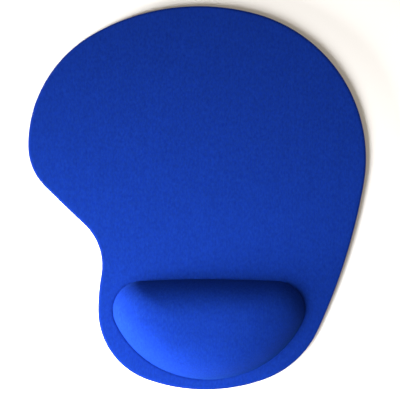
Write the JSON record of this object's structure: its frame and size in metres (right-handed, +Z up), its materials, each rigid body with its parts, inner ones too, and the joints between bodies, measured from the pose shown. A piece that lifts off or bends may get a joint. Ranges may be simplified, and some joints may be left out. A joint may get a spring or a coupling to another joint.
{
  "type": "mouse pad with wrist rest",
  "caption": "Teardrop-shaped cloth mouse pad with a raised half-round wrist cushion at the front and a rubber base.",
  "frame": {"origin": "on the table, under the middle of the pad's bounding rectangle", "axes": "+Z up, +Y from the wrist cushion to the back of the pad, +X to the user's right"},
  "size_m": [0.2026, 0.23, 0.02],
  "materials": {
    "cloth": "matt royal-blue knitted polyester",
    "bond_film": "translucent hot-melt film",
    "sheet_foam": "matt black closed-cell foam",
    "core_foam": "matt dark grey open-cell foam",
    "base_rubber": "matt black embossed rubber"
  },
  "bodies": {
    "root": {"surface_cloth": "cloth", "cloth_bond_film": "bond_film", "wrist_cushion_core": "core_foam", "cushion_bond_film": "bond_film", "foam_sheet": "sheet_foam", "base_bond_film": "bond_film", "non_slip_base": "base_rubber"}
  },
  "joints": []
}
